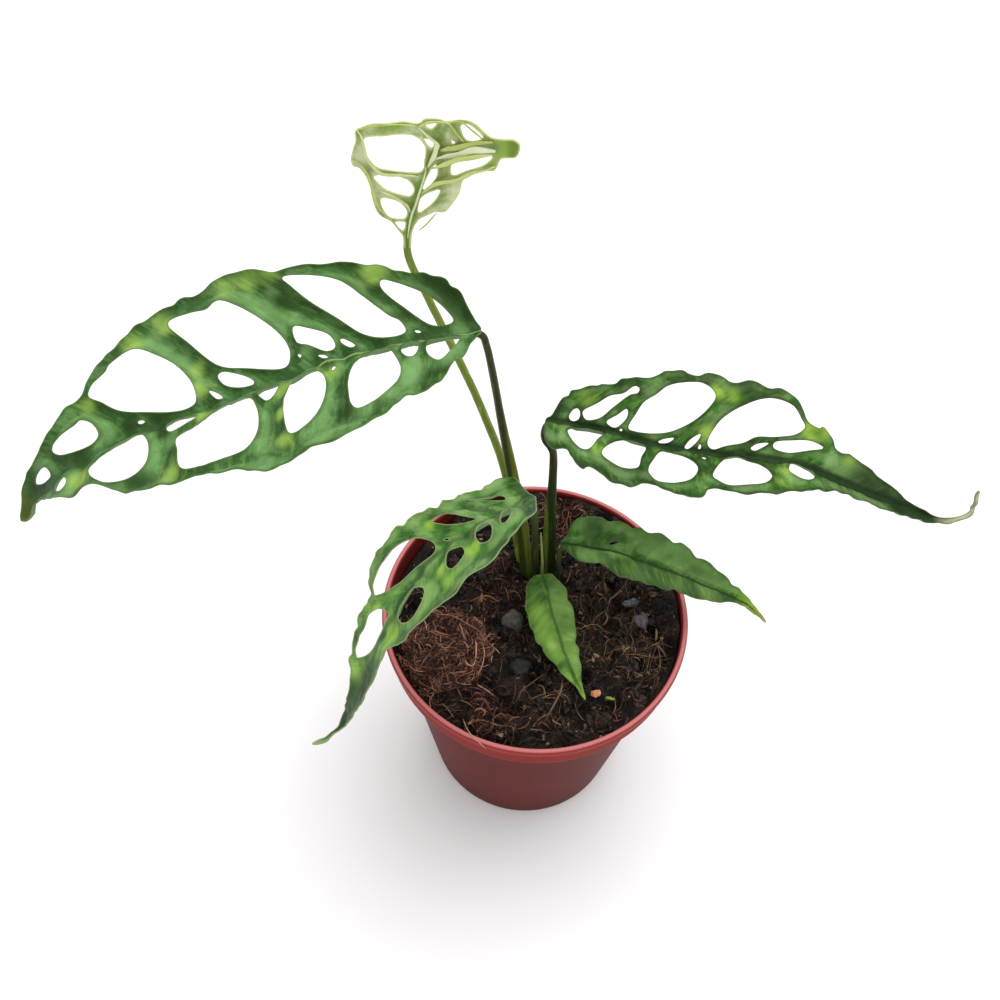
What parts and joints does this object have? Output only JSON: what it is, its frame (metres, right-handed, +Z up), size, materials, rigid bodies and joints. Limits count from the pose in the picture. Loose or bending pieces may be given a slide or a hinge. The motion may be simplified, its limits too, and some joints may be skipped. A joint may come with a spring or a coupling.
{
  "type": "potted monstera plant",
  "caption": "Small potted Monstera obliqua: long leaves pierced by large holes on slim stalks, standing in dark soil in a tapered red nursery pot with a rolled lip.",
  "frame": {"origin": "middle of the pot's flat foot, on the surface it stands on", "axes": "+Z up along the pot's axis, -Y toward the front where the short middle leaf points, +X toward the right-hand leaf"},
  "size_m": [0.223, 0.0947, 0.2276],
  "materials": {
    "pot_plastic": "semi-matt moulded",
    "soil": "rough",
    "coir": "rough fibre",
    "stone": "rough",
    "stone_purple": "rough",
    "leaf": "waxy",
    "leaf_bright": "waxy",
    "leaf_young": "soft",
    "sheath": "papery"
  },
  "bodies": {
    "root": {"pot": "pot_plastic", "soil": "soil", "coir_clump": "coir", "stone_grey": "stone", "stone_glossy": "stone", "stone_purple": "stone_purple", "leaf_a": "leaf", "leaf_b": "leaf", "leaf_c": "leaf", "leaf_d": "leaf", "leaf_e": "leaf_bright", "leaf_f": "leaf_young", "sheath_tip": "sheath"}
  },
  "joints": []
}
